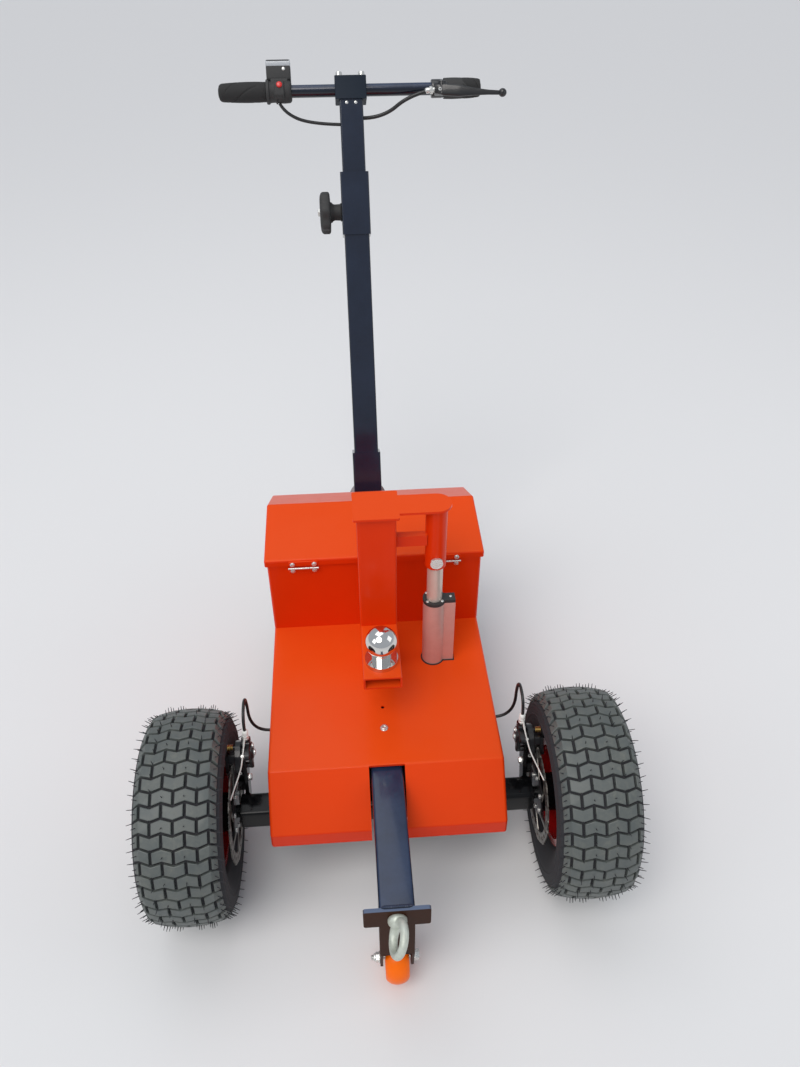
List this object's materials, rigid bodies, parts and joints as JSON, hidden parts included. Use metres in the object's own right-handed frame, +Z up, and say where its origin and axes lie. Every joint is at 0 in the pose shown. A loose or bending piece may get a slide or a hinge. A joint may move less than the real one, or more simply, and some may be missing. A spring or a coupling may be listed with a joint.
{
  "type": "electric trailer dolly",
  "caption": "Walk-behind electric trailer dolly: driven turf tyres, powered lift post with tow ball, battery box, nose tongue with eye and roller, telescoping mast with handlebar.",
  "frame": {"origin": "on the floor, at the centre of the whole object seen from above", "axes": "+X to the right as seen from the nose looking to the handlebar, +Y from the nose to the handlebar, +Z up"},
  "size_m": [0.738, 1.3044, 1.0276],
  "materials": {
    "orange_paint": "fine textured powder coat",
    "black_paint": "gloss black paint",
    "red_paint": "gloss red paint",
    "zinc": "zinc plated",
    "chrome": "polished",
    "anodised": "satin anodised",
    "tyre_rubber": "black tyre rubber",
    "grip_rubber": "moulded rubber",
    "black_plastic": "moulded plastic",
    "roller_plastic": "cast polyurethane",
    "caster_tread": "grey black rubber",
    "disc_steel": "ground steel",
    "gearbox_iron": "painted casting",
    "battery_case": "dark case"
  },
  "bodies": {
    "frame": {"chassis_frame": "black_paint", "deck_cover": "orange_paint", "axle_beam": "black_paint", "drive_unit": "gearbox_iron", "battery_box": "orange_paint", "battery_block": "battery_case", "box_hinges": "zinc", "guide_post": "black_paint", "actuator_body": "anodised", "actuator_flange": "black_paint", "tongue": "black_paint", "tongue_plate": "black_paint", "eye_bolt": "zinc", "nose_fork": "black_paint", "nose_bolt": "zinc", "mast_socket": "black_paint", "mast_disc": "zinc", "lower_mast": "black_paint", "clamp_knob": "black_plastic", "caliper_left": "black_paint", "caliper_right": "black_paint", "brake_cable_left": "black_plastic", "brake_cable_right": "black_plastic", "caster_plate": "zinc"},
    "wheel_left": {"tyre_left": "tyre_rubber", "rim_left": "red_paint", "hub_left": "black_paint", "brake_disc_left": "disc_steel"},
    "wheel_right": {"tyre_right": "tyre_rubber", "rim_right": "red_paint", "hub_right": "black_paint", "brake_disc_right": "disc_steel"},
    "nose_wheel": {"nose_roller": "roller_plastic"},
    "caster_yoke": {"caster_fork": "zinc"},
    "caster_roller": {"caster_wheel": "caster_tread"},
    "lid": {"box_lid": "orange_paint", "lid_hinges": "zinc"},
    "lift": {"lift_post": "orange_paint", "lift_cap": "orange_paint", "tow_ball": "chrome", "actuator_rod": "disc_steel", "clevis_pin": "zinc"},
    "mast_top": {"upper_mast": "black_paint", "handlebar": "black_paint", "throttle_grip": "grip_rubber", "right_grip": "grip_rubber", "throttle_housing": "black_plastic", "brake_lever": "black_plastic", "throttle_wires": "black_plastic", "lever_cables": "black_plastic"}
  },
  "joints": [
    {"name": "wheel_left_roll", "type": "hinge", "parent": "frame", "child": "wheel_left", "pos_m": [-0.306, -0.38121, 0.163], "axis": [1, 0, 0], "continuous": true},
    {"name": "wheel_right_roll", "type": "hinge", "parent": "frame", "child": "wheel_right", "pos_m": [0.306, -0.38121, 0.163], "axis": [1, 0, 0], "continuous": true},
    {"name": "nose_roller_roll", "type": "hinge", "parent": "frame", "child": "nose_wheel", "pos_m": [0, -0.57121, 0.046], "axis": [1, 0, 0], "continuous": true},
    {"name": "caster_swivel", "type": "hinge", "parent": "frame", "child": "caster_yoke", "pos_m": [0, 0.13879, 0.13], "axis": [0, 0, 1], "continuous": true},
    {"name": "caster_roll", "type": "hinge", "parent": "caster_yoke", "child": "caster_roller", "pos_m": [0, 0.09379, 0.062], "axis": [1, 0, 0], "continuous": true},
    {"name": "lid_hinge", "type": "hinge", "parent": "frame", "child": "lid", "pos_m": [0, -0.06021, 0.3826], "axis": [1, 0, 0], "range_deg": [0, 95]},
    {"name": "lift_slide", "type": "slide", "parent": "frame", "child": "lift", "axis": [0, 0, 1], "range_m": [-0.065, 0.08]},
    {"name": "mast_slide", "type": "slide", "parent": "frame", "child": "mast_top", "axis": [0, 0.454, 0.891], "range_m": [-0.065, 0.15]}
  ]
}
